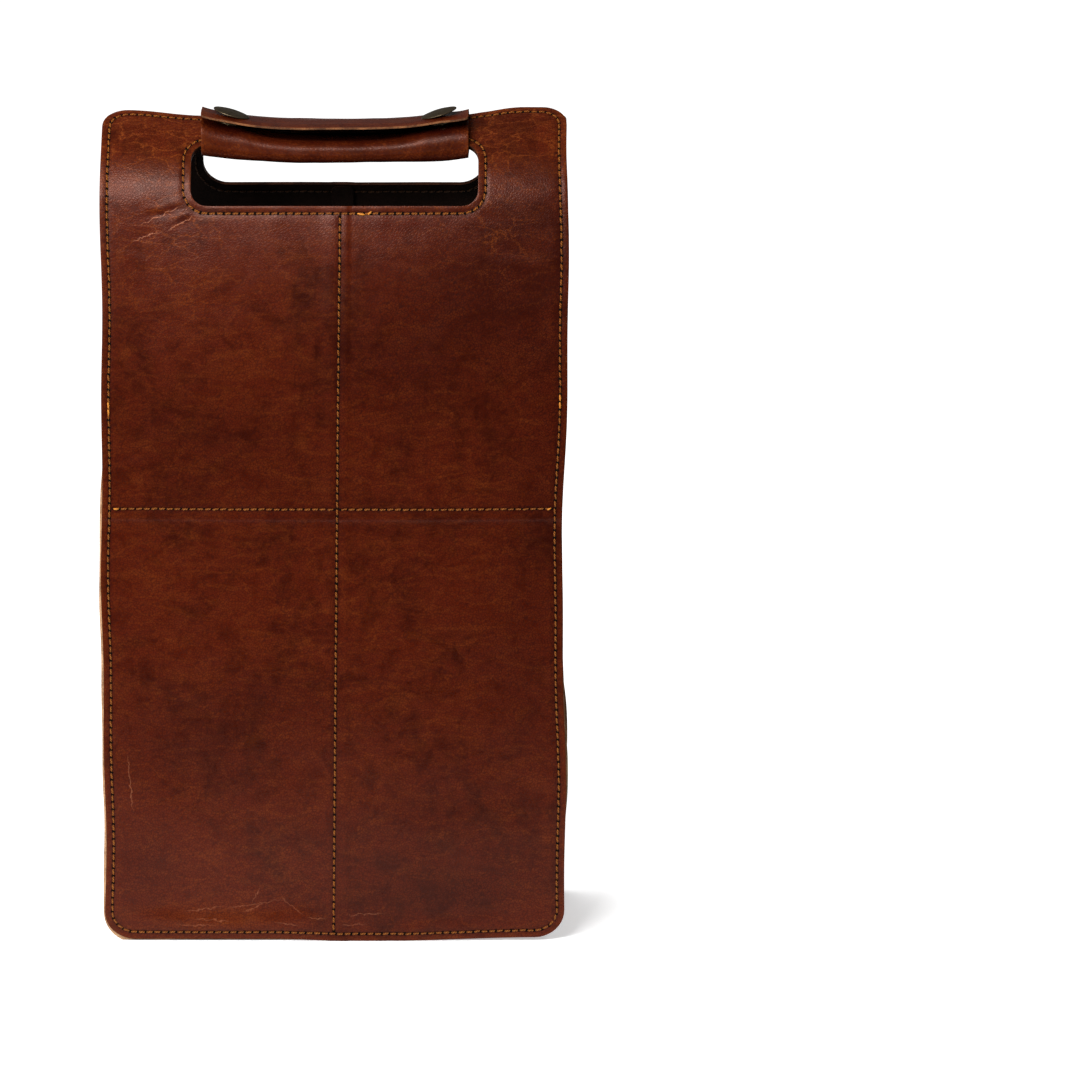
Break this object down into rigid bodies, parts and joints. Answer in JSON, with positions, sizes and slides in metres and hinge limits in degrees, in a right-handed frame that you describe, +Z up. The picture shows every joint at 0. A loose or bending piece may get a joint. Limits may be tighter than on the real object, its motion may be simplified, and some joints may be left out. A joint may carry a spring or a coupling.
{
  "type": "two-bottle wine carrier",
  "caption": "Reddish-brown leather carrier for two wine bottles, with a hand hole and a snapped leather wrap round the handle bars.",
  "frame": {"origin": "bottom centre of the carrier, on the plane it stands on", "axes": "+X to the right seen from the front, +Y to the back, +Z up"},
  "size_m": [0.187, 0.0814, 0.3395],
  "materials": {
    "leather": "satin",
    "lining": "matte",
    "gusset_leather": "matte",
    "thread": "matte",
    "snap_brass": "satin"
  },
  "bodies": {
    "body": {"front_panel_lower": "leather", "front_facing_lower": "lining", "front_edge_thread_lower": "thread", "front_divider_thread_lower": "thread", "front_cross_thread_left": "thread", "front_cross_thread_right": "thread", "back_panel_lower": "leather", "back_facing_lower": "lining", "back_edge_thread_lower": "thread", "back_divider_thread_lower": "thread", "back_cross_thread_left": "thread", "back_cross_thread_right": "thread", "gusset": "gusset_leather", "divider": "lining"},
    "front_top": {"front_panel_upper": "leather", "front_facing_upper": "lining", "front_divider_strip": "lining", "front_edge_thread_upper": "thread", "front_hole_thread": "thread", "front_divider_thread_upper": "thread", "handle_front": "leather", "snap_stud_left": "snap_brass", "snap_stud_right": "snap_brass", "snap_post_left": "snap_brass", "snap_post_right": "snap_brass"},
    "back_top": {"back_panel_upper": "leather", "back_facing_upper": "lining", "back_divider_strip": "lining", "back_edge_thread_upper": "thread", "back_hole_thread": "thread", "back_divider_thread_upper": "thread", "handle_back": "leather"},
    "flap": {"handle_flap": "leather", "snap_cap_left": "snap_brass", "snap_cap_right": "snap_brass", "snap_socket_left": "snap_brass", "snap_socket_right": "snap_brass"}
  },
  "joints": [
    {"name": "flap_hinge", "type": "hinge", "parent": "back_top", "child": "flap", "pos_m": [0, 0.01975, 0.32936], "axis": [-1, 0, 0], "range_deg": [0, 160]},
    {"name": "front_swing", "type": "hinge", "parent": "body", "child": "front_top", "pos_m": [0, -0.04, 0.221], "axis": [1, 0, 0], "range_deg": [0, 20]},
    {"name": "back_swing", "type": "hinge", "parent": "body", "child": "back_top", "pos_m": [0, 0.04, 0.221], "axis": [-1, 0, 0], "range_deg": [0, 20]}
  ],
  "couplings": [
    {"joint": "front_swing", "follows": "flap_hinge", "ratio": 0.125},
    {"joint": "back_swing", "follows": "flap_hinge", "ratio": 0.125}
  ]
}
